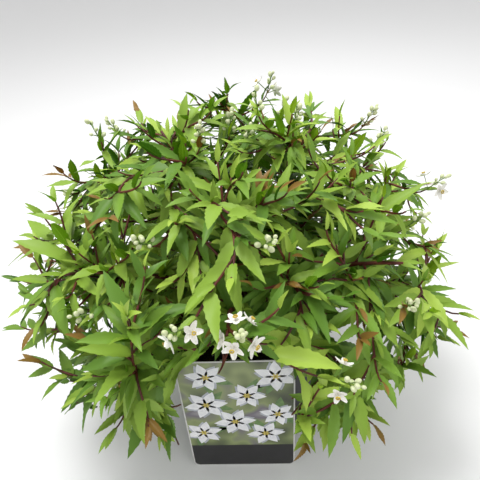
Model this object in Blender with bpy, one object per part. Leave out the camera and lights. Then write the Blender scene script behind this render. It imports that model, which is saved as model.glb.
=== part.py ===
"""A slender deutzia in flower-bud, in a nursery pot with a picture label hooked over the rim.

Metres, +Z up. The origin is the middle of the pot's underside, and the label faces -Y.
A short stem stands on the potting mix and forks into sixteen boughs, and each bough
carries one mass of foliage. Azimuths run from the label's side towards +X.
"""

import math
import random

import bmesh
import bpy
from mathutils import Quaternion, Vector
from mathutils.bvhtree import BVHTree
from mathutils.geometry import interpolate_bezier

# Touching solids keep this gap
GAP = 0.0003

# The pot: thin moulded plastic, tapering to its foot, with a turned-out rim
POT_HEIGHT = 0.140
POT_FOOT_RADIUS = 0.067
POT_SHOULDER_RADIUS = 0.0835
RIM_RADIUS = 0.0875
RIM_DEPTH = 0.012
POT_WALL = 0.0015
POT_FLOOR = 0.002
POT_ROUNDING = 0.002
POT_SIDES = 32
# The rim's edges are turned in by RIM_EDGE, and its lip is RIM_LIP wide
RIM_EDGE = 0.0015
RIM_SLOPE = 0.0005
RIM_LIP = 0.0040
SHARP_ANGLE = math.radians(30)
DRAIN_HOLES = 6
DRAIN_SIDES = 8
DRAIN_RADIUS = 0.005
DRAIN_RING = 0.050

# The potting mix, level in the middle where the stem stands
MIX_HEIGHT = 0.125
MIX_LEVEL_RADIUS = 0.018
MIX_EDGE_DROP = 0.006
MIX_SIDES = 16

# The picture label: a plastic card with a tongue bent over the rim
CARD_WIDTH = 0.095
CARD_HEIGHT = 0.149
CARD_FOOT = 0.001
CARD_THICKNESS = 0.0008
CARD_CORNER = 0.006
CARD_CORNER_STEPS = 4
CARD_MIDDLE_X = -0.002
TONGUE_WIDTH = 0.024
TONGUE_Y = -0.0800
TONGUE_FOOT = 0.130

# The stem, which leans a little on its way from a flared foot to its fork
STEM_HEIGHT = 0.030
STEM_FOOT_RADIUS = 0.0125
STEM_RADIUS = 0.0082
STEM_TOP_RADIUS = 0.0068
STEM_LEAN = 0.0016
STEM_SIDES = 10
# The heights of the stem's rings, as shares of its own
STEM_RISES = (0, 0.12, 0.32, 0.65, 1)

# The boughs
BOUGH_FOOT_RADIUS = 0.0028
BOUGH_TIP_RADIUS = 0.0022
BOUGH_SIDES = 6
BOUGH_STEPS = 6
# How far the curve of a bough is drawn along its first and its last direction
BOUGH_PULLS = (0.35, 0.30)
# The top boughs stand this share of the radius out on the stem's cut top, and leaning as
# they do they are raised by this many times their own half width
TOP_SEAT = 0.52
TOP_RAISE = 1.3
# How far above the rim the low boughs pass before they droop
OVER_RIM = 0.022

# The crown's outline: a dome about its heart, trimmed on the label's side
HEART = Vector((0, 0, 0.152))
CROWN_RADIUS = 0.200
CROWN_RISE = 0.175
CROWN_FALL = 0.090
FRONT_TRIM = 0.15
LOWEST_SHOOT = math.radians(-23)
# No foliage hangs in front of the label: this far to each side of its middle, the crown
# keeps above a slope that rises outwards from the label's top edge
WINDOW_HALF_WIDTH = 0.036
WINDOW_SLOPE = 1.1
WINDOW_FOOT = 0.142


class Ring:
    """A ring of boughs: how many, where they leave the stem and where their masses lie."""

    def __init__(self, name, count, first, step, elevation, fork, lift, share):
        self.name = name
        self.count = count
        self.first = math.radians(first)
        self.step = math.radians(step)
        self.elevation = math.radians(elevation)
        # The height of the fork above the stem's foot, and the bough's first rise
        self.fork = fork
        self.lift = math.radians(lift)
        # How much of the way to the crown's outline is bough
        self.share = share


RINGS = (
    Ring("low", 7, 40, 280 / 6, -12, 0.009, 36, 0.43),
    Ring("mid", 6, 0, 60, 28, 0.019, 44, 0.30),
    Ring("top", 3, -6, 120, 62, 0.030, 74, 0.26),
)
# How far out along its direction each mass has its middle
SITE_SHARE = 0.68

# The shoots of all masses together, dealt evenly over the crown
SHOOTS = 66
SHOOT_REACH = 0.84
SHOOT_REACHES = (0.90, 1.0)
# One shoot in this many stays inside the crown, above its heart: it reaches this share of
# the way to the outline and rises more steeply
INNER_EVERY = 3
INNER_SHARE = 0.50
INNER_LIFT = math.radians(16)
SHOOT_STEPS = 4
# How far along the spine the side shoots leave it
SHOOT_STARTS = (0.08, 0.55)
# How far a shoot's curve is drawn along its first and last direction, how much the first
# follows the spine, and how much the last turns out of the crown
SHOOT_PULLS = (0.33, 0.33)
SHOOT_FOLLOWS = 0.5
SHOOT_TURNS_OUT = 0.6
SPINE_STEPS = 6
SPINE_PULLS = (0.38, 0.32)
SPINE_FALL = math.radians(12)
# A spine starts this many gaps on from its bough's tip
SPINE_GAPS = 1.5
SPINE_TIP_RADIUS = 0.0014
SHOOT_FOOT_RADIUS = 0.0018
SHOOT_TIP_RADIUS = 0.0012
TWIG_SIDES = 3
# Steps of a two-dimensional low-discrepancy series
EVEN_STEPS = (0.7548776662466927, 0.5698402909980532)

# The leaves: fewer and larger than life
LEAF_LENGTH = 0.064
LEAF_WIDTH = 0.025
LEAF_KEEL = 0.0030
LEAF_WIDEST = 0.42
LEAF_ARCH = 0.10
LEAF_SUNK = 0.0006
# The two roots of a pair lie this far along the twig from its middle, one each way
PAIR_STAGGER = 0.0012
LEAF_SPREAD = math.radians(55)
LEAF_DROOP = 0.22
# How much a blade faces out of the crown, besides up
LEAF_FACES_OUT = 0.5
# Leaves vary within these shares of their spread and length, and pairs by these turns
SPREAD_SHARES = (0.85, 1.15)
LENGTH_SHARES = (0.88, 1.05)
FIRST_TURNS = (-0.5, 0.5)
MORE_TURNS = (-0.35, 0.35)
# The single leaf at a shoot's tip is smaller and leans out of the crown
TIP_LEAF_SHARE = 0.8
TIP_LEAF_OUT = 0.3
SPINE_PAIRS = (0.06, 0.26, 0.50, 0.74, 0.96)
SHOOT_PAIRS = (0.30, 0.63, 0.95)
# What is tried, in turn, where a leaf would leave its space or meet another
LEAF_SIZES = (1, 0.85, 0.72)
LEAF_TURNS = (0, 0.4, -0.4, 0.8)
# The share of a leaf, from its root, that may meet its neighbours
LEAF_ROOT_SHARE = 0.2

# Flowers that show from a step away, as open five-petalled stars
FLOWER_RADIUS = 0.009
FLOWER_DEPTH = 0.003
FLOWER_STALK = 0.014
FLOWER_PETALS = 5
FLOWER_NOTCH = 0.5
FLOWERS_A_HEAD = 3
FLOWER_TILT = math.radians(48)
# Where a head of flowers shows: degrees from the label's side, and above level
FLOWER_HEADS = ((22, 25), (-16, 29), (4, 36), (96, 30), (-150, 24), (160, 50))

# Masses keep this far from each other's space, and leaves from limbs and pot
SPACE_MARGIN = 0.0004
CLEARANCE = 0.0007
LOWEST_LEAF = 0.030
SEED = 20


def material(name, colour, roughness):
    """A Principled material of one colour, from sRGB numbers."""
    made = bpy.data.materials.new(name)
    made.use_nodes = True
    shader = made.node_tree.nodes["Principled BSDF"]
    linear = [((c + 0.055) / 1.055) ** 2.4 if c > 0.04045 else c / 12.92 for c in colour]
    shader.inputs["Base Color"].default_value = (*linear, 1)
    shader.inputs["Roughness"].default_value = roughness
    shader.inputs["Metallic"].default_value = 0
    made.diffuse_color = (*linear, 1)
    return made


def placed(name, mesh, look):
    """A new object from a bmesh, which is freed."""
    data = bpy.data.meshes.new(name)
    mesh.to_mesh(data)
    mesh.free()
    data.materials.append(look)
    made = bpy.data.objects.new(name, data)
    bpy.context.scene.collection.objects.link(made)
    return made


def outward(azimuth, elevation):
    """The direction at this azimuth from the label's side and this height above level."""
    level = math.cos(elevation)
    return Vector((math.sin(azimuth) * level, -math.cos(azimuth) * level, math.sin(elevation)))


def turned(profile, sides):
    """A solid turned about Z from (radius, height) points that start and end on the axis."""
    mesh = bmesh.new()
    points = [mesh.verts.new((radius, 0, height)) for radius, height in profile]
    edges = [mesh.edges.new(pair) for pair in zip(points, points[1:])]
    bmesh.ops.spin(
        mesh,
        geom=points + edges,
        axis=(0, 0, 1),
        angle=math.tau,
        steps=sides,
        use_merge=True,
    )
    bmesh.ops.remove_doubles(mesh, verts=mesh.verts, dist=1e-6)
    bmesh.ops.recalc_face_normals(mesh, faces=mesh.faces)
    return mesh


def limb(points, radii, sides):
    """A closed tapering tube along points, with a flat cut at each end."""
    mesh = bmesh.new()
    tangent = points[1] - points[0]
    frame = tangent.to_track_quat("Z", "Y")
    rings = []
    for index, (point, radius) in enumerate(zip(points, radii)):
        ahead = points[min(index + 1, len(points) - 1)] - points[max(index - 1, 0)]
        frame = tangent.rotation_difference(ahead) @ frame
        tangent = ahead
        ring = []
        for side in range(sides):
            angle = math.tau * side / sides
            offset = Vector((math.cos(angle), math.sin(angle), 0)) * radius
            ring.append(mesh.verts.new(point + frame @ offset))
        rings.append(ring)
    for near, far in zip(rings, rings[1:]):
        for side in range(sides):
            after = (side + 1) % sides
            mesh.faces.new((near[side], near[after], far[after], far[side]))
    mesh.faces.new(rings[0][::-1])
    mesh.faces.new(rings[-1])
    return mesh


def tapering(start, end, count):
    """Evenly stepped radii from start to end."""
    return [start + (end - start) * step / (count - 1) for step in range(count)]


def pot_outer(height):
    """The outer radius of the pot's wall below the rim."""
    widening = (POT_SHOULDER_RADIUS - POT_FOOT_RADIUS) / (POT_HEIGHT - RIM_DEPTH)
    return POT_FOOT_RADIUS + widening * height


def build_pot(look):
    """The hollow pot, with its drainage holes cut through the floor."""
    shoulder = POT_HEIGHT - RIM_DEPTH
    profile = (
        (0, 0),
        (POT_FOOT_RADIUS - POT_ROUNDING, 0),
        (pot_outer(POT_ROUNDING), POT_ROUNDING),
        (POT_SHOULDER_RADIUS, shoulder),
        (RIM_RADIUS - RIM_SLOPE, shoulder + RIM_EDGE),
        (RIM_RADIUS, POT_HEIGHT - RIM_EDGE),
        (RIM_RADIUS - RIM_EDGE, POT_HEIGHT),
        (RIM_RADIUS - RIM_LIP, POT_HEIGHT),
        (POT_SHOULDER_RADIUS - POT_WALL, POT_HEIGHT - RIM_EDGE),
        (POT_SHOULDER_RADIUS - POT_WALL, shoulder),
        (pot_outer(POT_FLOOR) - POT_WALL, POT_FLOOR),
        (0, POT_FLOOR),
    )
    pot = placed("nursery_pot", turned(profile, POT_SIDES), look)
    holes = bmesh.new()
    for index in range(DRAIN_HOLES):
        middle = outward(math.tau * (index + 0.5) / DRAIN_HOLES, 0) * DRAIN_RING
        made = bmesh.ops.create_cone(
            holes,
            cap_ends=True,
            segments=DRAIN_SIDES,
            radius1=DRAIN_RADIUS,
            radius2=DRAIN_RADIUS,
            depth=POT_FLOOR * 4,
        )
        bmesh.ops.translate(holes, verts=made["verts"], vec=middle)
    cutter = placed("drain_cutter", holes, look)
    cutter.hide_render = True
    cutter.display_type = "WIRE"
    cut = pot.modifiers.new("drains", "BOOLEAN")
    cut.operation = "DIFFERENCE"
    cut.object = cutter
    pot.data.shade_smooth()
    pot.data.set_sharp_from_angle(angle=SHARP_ANGLE)


def build_mix(look):
    """The mix fills the pot to below its rim and keeps clear of the wall and floor."""
    foot = POT_FLOOR + GAP
    edge = MIX_HEIGHT - MIX_EDGE_DROP
    inside = POT_WALL + GAP
    profile = (
        (0, foot),
        (pot_outer(foot) - inside, foot),
        (pot_outer(edge) - inside, edge),
        ((pot_outer(edge) + MIX_LEVEL_RADIUS) / 2, MIX_HEIGHT - MIX_EDGE_DROP / 4),
        (MIX_LEVEL_RADIUS, MIX_HEIGHT),
        (0, MIX_HEIGHT),
    )
    placed("potting_mix", turned(profile, MIX_SIDES), look)


def sheet(outline, depth, across):
    """A flat sheet: the outline's points, extruded by depth along across."""
    mesh = bmesh.new()
    face = mesh.faces.new([mesh.verts.new(point) for point in outline])
    made = bmesh.ops.extrude_face_region(mesh, geom=[face])
    moved = [item for item in made["geom"] if isinstance(item, bmesh.types.BMVert)]
    bmesh.ops.translate(mesh, verts=moved, vec=Vector(across) * depth)
    bmesh.ops.recalc_face_normals(mesh, faces=mesh.faces)
    return mesh


def build_label(look):
    """The card stands against the rim, and its tongue hooks over it and down inside."""
    back = -(RIM_RADIUS + GAP)
    half = CARD_WIDTH / 2 - CARD_CORNER
    tall = CARD_HEIGHT / 2 - CARD_CORNER
    middle_z = CARD_FOOT + CARD_HEIGHT / 2
    outline = []
    for quarter, (side, rise) in enumerate(((1, 1), (-1, 1), (-1, -1), (1, -1))):
        for step in range(CARD_CORNER_STEPS + 1):
            angle = (quarter + step / CARD_CORNER_STEPS) * math.pi / 2
            across = CARD_MIDDLE_X + side * half + CARD_CORNER * math.cos(angle)
            height = middle_z + rise * tall + CARD_CORNER * math.sin(angle)
            outline.append((across, back, height))
    card = placed("picture_label", sheet(outline, CARD_THICKNESS, (0, -1, 0)), look)
    over = POT_HEIGHT + GAP
    side = CARD_MIDDLE_X - TONGUE_WIDTH / 2
    hook = (
        (back - CARD_THICKNESS / 2, over),
        (back - CARD_THICKNESS / 2, over + CARD_THICKNESS),
        (TONGUE_Y + CARD_THICKNESS, over + CARD_THICKNESS),
        (TONGUE_Y + CARD_THICKNESS, TONGUE_FOOT),
        (TONGUE_Y, TONGUE_FOOT),
        (TONGUE_Y, over),
    )
    tongue = placed("tongue", sheet([(side, y, z) for y, z in hook], TONGUE_WIDTH, (1, 0, 0)), look)
    joined(card, [tongue])


def joined(body, pieces):
    """Unites the pieces with the body, keeps the one largest shell and removes the pieces."""
    group = bpy.data.collections.new(body.name + "_pieces")
    for piece in pieces:
        group.objects.link(piece)
    union = body.modifiers.new("joined", "BOOLEAN")
    union.operation = "UNION"
    union.operand_type = "COLLECTION"
    union.collection = group
    union.solver = "EXACT"
    graph = bpy.context.evaluated_depsgraph_get()
    made = bpy.data.meshes.new_from_object(body.evaluated_get(graph))
    body.modifiers.clear()
    body.data = made
    for piece in pieces:
        bpy.data.objects.remove(piece)
    bpy.data.collections.remove(group)
    keep_largest_shell(made)


def keep_largest_shell(data):
    """Drops loose scraps and fills sealed hollows, which are smaller shells."""
    mesh = bmesh.new()
    mesh.from_mesh(data)
    shells = []
    unseen = set(mesh.faces)
    while unseen:
        shell = []
        front = [unseen.pop()]
        while front:
            face = front.pop()
            shell.append(face)
            for edge in face.edges:
                for other in edge.link_faces:
                    if other in unseen:
                        unseen.remove(other)
                        front.append(other)
        shells.append(shell)
    shells.sort(key=len)
    scraps = [face for shell in shells[:-1] for face in shell]
    bmesh.ops.delete(mesh, geom=scraps, context="FACES")
    mesh.to_mesh(data)
    mesh.free()


def crown_reach(azimuth, elevation):
    """How far the crown's outline lies from its heart in this direction."""
    facing = max(0, math.cos(azimuth))
    radius = CROWN_RADIUS * (1 - FRONT_TRIM * facing * facing)
    height = CROWN_RISE if elevation > 0 else CROWN_FALL
    return 1 / math.hypot(math.cos(elevation) / radius, math.sin(elevation) / height)


def crown_point(azimuth, elevation, share):
    """The point at a share of the way from the heart to the crown's outline."""
    return HEART + outward(azimuth, elevation) * crown_reach(azimuth, elevation) * share


class Mass:
    """One bough and the foliage that it carries."""

    def __init__(self, ring, index):
        self.azimuth = ring.first + ring.step * index
        self.elevation = ring.elevation
        self.bough_name = f"bough_{ring.name}_{index + 1}"
        self.name = f"foliage_{ring.name}_{index + 1}"
        self.site = crown_point(self.azimuth, self.elevation, SITE_SHARE)
        self.route = bough_route(ring, self.azimuth)
        self.targets = []
        self.flowering = []


def stem_points():
    """The stem rises upright from its flat cut, then leans to its fork."""
    foot = STEM_RISES[1]
    return [
        Vector((
            STEM_LEAN * max(0, rise - foot) / (1 - foot),
            0,
            MIX_HEIGHT + GAP + STEM_HEIGHT * rise,
        ))
        for rise in STEM_RISES
    ]


def stem_radii():
    """The root flare runs out at the stem's second ring, and a slight taper follows."""
    taper = tapering(STEM_RADIUS, STEM_TOP_RADIUS, len(STEM_RISES) - 2)
    return [STEM_FOOT_RADIUS, (STEM_FOOT_RADIUS + 2 * STEM_RADIUS) / 3] + taper


def curved(start, leave, arrive, end, pulls, steps):
    """Points on a curve from start to end, drawn along leave and arrive by their pulls."""
    return interpolate_bezier(start, start + leave * pulls[0], end - arrive * pulls[1], end, steps)


def bough_route(ring, azimuth):
    """The bough's middle line, from just clear of the stem to where its mass begins."""
    side = outward(azimuth, 0)
    first = outward(azimuth, ring.lift)
    height = MIX_HEIGHT + GAP + ring.fork
    if ring.fork < STEM_HEIGHT:
        clear = STEM_RADIUS + GAP + BOUGH_FOOT_RADIUS * math.sin(ring.lift)
    else:
        # The top boughs stand on the stem's cut top
        clear = STEM_TOP_RADIUS * TOP_SEAT
        height += 2 * GAP + BOUGH_FOOT_RADIUS * math.cos(ring.lift) * TOP_RAISE
    lean = Vector((STEM_LEAN * min(1, ring.fork / STEM_HEIGHT), 0, 0))
    foot = side * clear + lean + Vector((0, 0, height))
    end = crown_point(azimuth, ring.elevation, ring.share)
    if ring.elevation < 0:
        # The low boughs pass over the rim before they droop
        end.z = POT_HEIGHT + OVER_RIM
    length = (end - foot).length
    arrive = (end - foot).normalized().lerp(outward(azimuth, ring.elevation), 0.5)
    return curved(foot, first * length, arrive * length, end, BOUGH_PULLS, BOUGH_STEPS)


def shoot_targets():
    """Points dealt evenly over the crown, a little inside its outline."""
    rng = random.Random(SEED)
    lowest = math.sin(LOWEST_SHOOT)
    for index in range(SHOOTS):
        azimuth = math.tau * ((index * EVEN_STEPS[0]) % 1) - math.pi
        elevation = math.asin(lowest + (1 - lowest) * ((0.5 + index * EVEN_STEPS[1]) % 1))
        share = SHOOT_REACH * rng.uniform(*SHOOT_REACHES)
        if index % INNER_EVERY == 0 and elevation > 0:
            share *= INNER_SHARE
            elevation = min(math.pi / 2, elevation + INNER_LIFT)
        target = crown_point(azimuth, elevation, share)
        if not before_label(target):
            yield target


def before_label(point):
    """Whether a point hangs in the open space in front of the label."""
    out = -point.y - RIM_RADIUS
    below = WINDOW_FOOT + WINDOW_SLOPE * out
    return out > 0 and abs(point.x - CARD_MIDDLE_X) < WINDOW_HALF_WIDTH and point.z < below


def nearest(masses, point):
    """The mass whose site is nearest to the point."""
    return min(masses, key=lambda mass: (mass.site - point).length_squared)


class Space:
    """The space of one mass: the points nearer to its site than to any other, clear of limbs."""

    def __init__(self, mass, masses, solids):
        self.walls = []
        for other in masses:
            if other is not mass:
                middle = (mass.site + other.site) / 2
                self.walls.append((middle, (mass.site - other.site).normalized()))
        self.solids = solids
        self.taken = []

    def holds(self, mesh):
        """Whether this closed mesh lies in the space and touches no limb, pot or label."""
        for vertex in mesh.verts:
            if vertex.co.z < LOWEST_LEAF or before_label(vertex.co):
                return False
            for middle, inward in self.walls:
                if (vertex.co - middle).dot(inward) < SPACE_MARGIN:
                    return False
        return not self.solids.overlap(BVHTree.FromBMesh(mesh))

    def add(self, middle, reach, tree):
        """Takes the place of a twig or a blade, which no later blade may meet."""
        self.taken.append((middle, reach, tree))

    def takes(self, root, along, upper, length):
        """Whether a leaf's blade meets no twig or other blade, in which case it takes its place."""
        start = root + along * length * LEAF_ROOT_SHARE
        blade = leaf_solid(start, along, upper, length * (1 - LEAF_ROOT_SHARE))
        tree = BVHTree.FromBMesh(blade)
        blade.free()
        middle = root + along * length / 2
        for other, reach, taken in self.taken:
            if (middle - other).length < reach + length / 2 and taken.overlap(tree):
                return False
        self.add(middle, length / 2, tree)
        return True


def obstacles(masses):
    """The stem, boughs, pot and label as one tree of faces, grown by the clearance."""
    whole = bmesh.new()

    def add(mesh):
        data = bpy.data.meshes.new("obstacle")
        mesh.to_mesh(data)
        mesh.free()
        whole.from_mesh(data)
        bpy.data.meshes.remove(data)

    add(limb(stem_points(), [radius + CLEARANCE for radius in stem_radii()], STEM_SIDES))
    for mass in masses:
        radii = tapering(BOUGH_FOOT_RADIUS + CLEARANCE, BOUGH_TIP_RADIUS + CLEARANCE, BOUGH_STEPS)
        add(limb(mass.route, radii, BOUGH_SIDES))
    wide = RIM_RADIUS + 2 * CLEARANCE
    high = POT_HEIGHT + CLEARANCE
    add(turned(((0, 0), (POT_FOOT_RADIUS, 0), (wide, high), (0, high)), POT_SIDES))
    card = bmesh.new()
    bmesh.ops.create_cube(card, size=1)
    sizes = [size + 2 * CLEARANCE for size in (CARD_WIDTH, CARD_THICKNESS, CARD_HEIGHT)]
    bmesh.ops.scale(card, vec=sizes, verts=card.verts)
    middle = (CARD_MIDDLE_X, -(RIM_RADIUS + GAP + CARD_THICKNESS / 2), CARD_FOOT + CARD_HEIGHT / 2)
    bmesh.ops.translate(card, vec=middle, verts=card.verts)
    add(card)
    return BVHTree.FromBMesh(whole)


def leaf_solid(root, along, upper, length):
    """A pointed, arched blade with a keel under it, its root sunk past the twig's middle."""
    size = length / LEAF_LENGTH
    side = along.cross(upper).normalized()
    upper = side.cross(along).normalized()
    widest = root + along * length * LEAF_WIDEST + upper * length * LEAF_ARCH
    half = side * LEAF_WIDTH * size / 2
    mesh = bmesh.new()
    foot = mesh.verts.new(root - along * LEAF_SUNK)
    tip = mesh.verts.new(root + along * length)
    left = mesh.verts.new(widest - half)
    right = mesh.verts.new(widest + half)
    keel = mesh.verts.new(widest - upper * LEAF_KEEL * size)
    for end, (first, second) in ((foot, (left, right)), (tip, (right, left))):
        mesh.faces.new((end, second, first))
        mesh.faces.new((end, first, keel))
        mesh.faces.new((end, keel, second))
    bmesh.ops.recalc_face_normals(mesh, faces=mesh.faces)
    return mesh


def flower_solid(root, along):
    """A five-petalled star on a stalk that tapers down into the twig."""
    mesh = bmesh.new()
    frame = along.to_track_quat("Z", "Y")
    middle = root + along * FLOWER_STALK
    foot = mesh.verts.new(root - along * LEAF_SUNK)
    eye = mesh.verts.new(middle + along * FLOWER_DEPTH / 2)
    star = []
    for point in range(2 * FLOWER_PETALS):
        angle = math.pi * point / FLOWER_PETALS
        radius = FLOWER_RADIUS if point % 2 == 0 else FLOWER_RADIUS * FLOWER_NOTCH
        offset = Vector((math.cos(angle), math.sin(angle), 0)) * radius
        star.append(mesh.verts.new(middle + frame @ offset))
    for here, after in zip(star, star[1:] + star[:1]):
        mesh.faces.new((eye, here, after))
        mesh.faces.new((foot, after, here))
    bmesh.ops.recalc_face_normals(mesh, faces=mesh.faces)
    return mesh


def leaf_direction(tangent, turn, sign, spread):
    """Where one leaf of an opposite pair points, with the pair turned about the twig."""
    level = tangent.cross(Vector((0, 0, 1)))
    if level.length < 0.2:
        level = Vector((1, 0, 0))
    side = Quaternion(tangent, turn) @ level.normalized()
    along = tangent * math.cos(spread) + side * sign * math.sin(spread)
    return (along - Vector((0, 0, LEAF_DROOP))).normalized()


def leaf_upper(along, outside):
    """The way a blade's upper face looks: up and a little out of the crown."""
    facing = Vector((0, 0, 1)) + outside * LEAF_FACES_OUT
    return (facing - along * facing.dot(along)).normalized()


def grown_leaf(space, root, outside, length, aims):
    """A leaf that fits the space, in the first of its aims and sizes that does, or None."""
    for size in LEAF_SIZES:
        for along in aims:
            upper = leaf_upper(along, outside)
            leaf = leaf_solid(root, along, upper, length * size)
            if space.holds(leaf) and space.takes(root, along, upper, length * size):
                return leaf
            leaf.free()
    return None


def spine_route(mass):
    """The mass's own stem, which goes on from the bough's tip to near the crown's outline."""
    last = mass.route[-1]
    before = mass.route[-2]
    heading = (last - before).normalized()
    start = last + heading * GAP * SPINE_GAPS
    end = crown_point(mass.azimuth, mass.elevation, SHOOT_REACH)
    length = (end - start).length
    fall = outward(mass.azimuth, mass.elevation - SPINE_FALL)
    return curved(start, heading * length, fall * length, end, SPINE_PULLS, SPINE_STEPS)


def shoot_route(spine, target, outside):
    """A side shoot from the spine to its target, leaving low on the spine for a far target."""
    reach = (target - spine[-1]).length
    length = (spine[-1] - spine[0]).length
    share = max(SHOOT_STARTS[0], min(SHOOT_STARTS[1], 1 - reach / length))
    place = share * (len(spine) - 1)
    index = min(int(place), len(spine) - 2)
    start = spine[index].lerp(spine[index + 1], place - index)
    heading = (spine[index + 1] - spine[index]).normalized()
    span = (target - start).length
    aim = (target - start).normalized()
    first = (heading * SHOOT_FOLLOWS + aim).normalized()
    arrive = (outside * SHOOT_TURNS_OUT + aim).normalized()
    return curved(start, first * span, arrive * span, target, SHOOT_PULLS, SHOOT_STEPS)


def twig_leaves(space, route, pairs, outside, rng):
    """Opposite pairs along a shoot, each turned from the last, and a leaf at its tip."""
    turn = rng.uniform(*FIRST_TURNS)
    for place in pairs:
        spot = place * (len(route) - 1)
        index = min(int(spot), len(route) - 2)
        root = route[index].lerp(route[index + 1], spot - index)
        tangent = (route[index + 1] - route[index]).normalized()
        for sign in (1, -1):
            spread = LEAF_SPREAD * rng.uniform(*SPREAD_SHARES)
            length = LEAF_LENGTH * rng.uniform(*LENGTH_SHARES)
            aims = [leaf_direction(tangent, turn + more, sign, spread) for more in LEAF_TURNS]
            yield grown_leaf(space, root + tangent * PAIR_STAGGER * sign, outside, length, aims)
        turn += math.pi / 2 + rng.uniform(*MORE_TURNS)
    tangent = (route[-1] - route[-2]).normalized()
    tip = (tangent + outside * TIP_LEAF_OUT).normalized()
    yield grown_leaf(space, route[-1], outside, LEAF_LENGTH * TIP_LEAF_SHARE, [tip])


def flower_head(space, route):
    """Flowers that lean out all round the shoot's tip."""
    tangent = (route[-1] - route[-2]).normalized()
    side = tangent.orthogonal().normalized()
    for flower in range(FLOWERS_A_HEAD):
        spin = Quaternion(tangent, math.tau * flower / FLOWERS_A_HEAD)
        along = tangent * math.cos(FLOWER_TILT) + spin @ side * math.sin(FLOWER_TILT)
        made = flower_solid(route[-1] - tangent * FLOWER_STALK / 2, along)
        if space.holds(made):
            yield made
        else:
            made.free()


def build_foliage(mass, space, look, rng):
    """Grows the spine, its shoots, their leaves and flowers, and joins them into one solid."""
    spine = spine_route(mass)
    radii = tapering(BOUGH_TIP_RADIUS, SPINE_TIP_RADIUS, SPINE_STEPS)
    stem = limb(spine, radii, TWIG_SIDES)
    space.add(mass.site, CROWN_RADIUS, BVHTree.FromBMesh(stem))
    body = placed(mass.name, stem, look)
    shoots = [(spine, SPINE_PAIRS, outward(mass.azimuth, mass.elevation))]
    grown = []
    for target in mass.targets:
        outside = (target - HEART).normalized()
        route = shoot_route(spine, target, outside)
        twig = limb(route, tapering(SHOOT_FOOT_RADIUS, SHOOT_TIP_RADIUS, SHOOT_STEPS), TWIG_SIDES)
        if not space.holds(twig):
            twig.free()
            continue
        space.add(target, CROWN_RADIUS, BVHTree.FromBMesh(twig))
        grown.append(twig)
        shoots.append((route, SHOOT_PAIRS, outside))
        if target in mass.flowering:
            heads = list(flower_head(space, route))
            for head in heads:
                space.add(target, FLOWER_STALK + FLOWER_RADIUS, BVHTree.FromBMesh(head))
            grown.extend(heads)
    for route, pairs, outside in shoots:
        grown.extend(leaf for leaf in twig_leaves(space, route, pairs, outside, rng) if leaf)
    pieces = [placed(f"{mass.name}_piece", mesh, look) for mesh in grown]
    joined(body, pieces)


def main():
    """Builds the pot, its mix and label, then the stem, the boughs and their foliage."""
    for old in list(bpy.data.objects):
        bpy.data.objects.remove(old)
    plastic = material("black_polypropylene", (0.16, 0.16, 0.17), 0.5)
    soil = material("peat_mix", (0.16, 0.11, 0.08), 0.95)
    card = material("printed_card", (0.45, 0.42, 0.46), 0.35)
    bark = material("brown_bark", (0.33, 0.20, 0.15), 0.8)
    leaves = material("green_foliage", (0.42, 0.62, 0.22), 0.55)
    build_pot(plastic)
    build_mix(soil)
    build_label(card)
    placed("short_stem", limb(stem_points(), stem_radii(), STEM_SIDES), bark)
    masses = [Mass(ring, index) for ring in RINGS for index in range(ring.count)]
    targets = list(shoot_targets())
    for target in targets:
        nearest(masses, target).targets.append(target)
    for head in FLOWER_HEADS:
        spot = crown_point(*map(math.radians, head), SHOOT_REACH)
        target = min(targets, key=lambda other: (other - spot).length_squared)
        nearest(masses, target).flowering.append(target)
    for mass in masses:
        radii = tapering(BOUGH_FOOT_RADIUS, BOUGH_TIP_RADIUS, BOUGH_STEPS)
        placed(mass.bough_name, limb(mass.route, radii, BOUGH_SIDES), bark)
    solids = obstacles(masses)
    for number, mass in enumerate(masses):
        space = Space(mass, masses, solids)
        build_foliage(mass, space, leaves, random.Random(SEED + number))


main()
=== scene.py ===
"""Looks of the potted slender deutzia: pot, mix, label, bark, twigs, leaves, buds and flowers.

Metres, +Z up, in the solids' frame. Azimuths run from the label's side (-Y) towards +X.
The crown grows by the solids' own rule, carried on to finer shoots and true-size leaves.
"""

import math
import random
from collections import namedtuple
from itertools import product

import bmesh
import bpy
import numpy as np
from mathutils import Matrix, Quaternion, Vector
from mathutils.geometry import interpolate_bezier


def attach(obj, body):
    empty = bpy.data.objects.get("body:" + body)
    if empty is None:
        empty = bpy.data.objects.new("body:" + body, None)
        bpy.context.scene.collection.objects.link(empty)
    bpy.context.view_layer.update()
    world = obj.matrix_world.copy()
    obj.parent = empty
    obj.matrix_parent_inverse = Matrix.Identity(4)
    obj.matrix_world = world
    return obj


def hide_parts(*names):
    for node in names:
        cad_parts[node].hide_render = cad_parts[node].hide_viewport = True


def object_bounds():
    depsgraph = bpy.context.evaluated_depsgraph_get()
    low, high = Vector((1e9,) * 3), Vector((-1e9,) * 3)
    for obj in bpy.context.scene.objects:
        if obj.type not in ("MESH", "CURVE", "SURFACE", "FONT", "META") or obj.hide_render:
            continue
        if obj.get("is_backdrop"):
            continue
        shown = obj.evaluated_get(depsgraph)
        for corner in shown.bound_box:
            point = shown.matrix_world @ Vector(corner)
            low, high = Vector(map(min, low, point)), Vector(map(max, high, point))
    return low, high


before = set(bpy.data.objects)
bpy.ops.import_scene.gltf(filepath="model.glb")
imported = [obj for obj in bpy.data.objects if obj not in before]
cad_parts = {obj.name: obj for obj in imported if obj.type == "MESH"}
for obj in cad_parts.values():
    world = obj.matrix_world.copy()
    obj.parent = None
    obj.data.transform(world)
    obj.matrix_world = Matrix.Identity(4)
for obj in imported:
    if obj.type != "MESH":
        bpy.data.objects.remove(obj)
CAD_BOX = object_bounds()

MM = 0.001
# Points closer than this are one
WELD = 1e-6
SEED = 20
UP = Vector((0, 0, 1))

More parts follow.
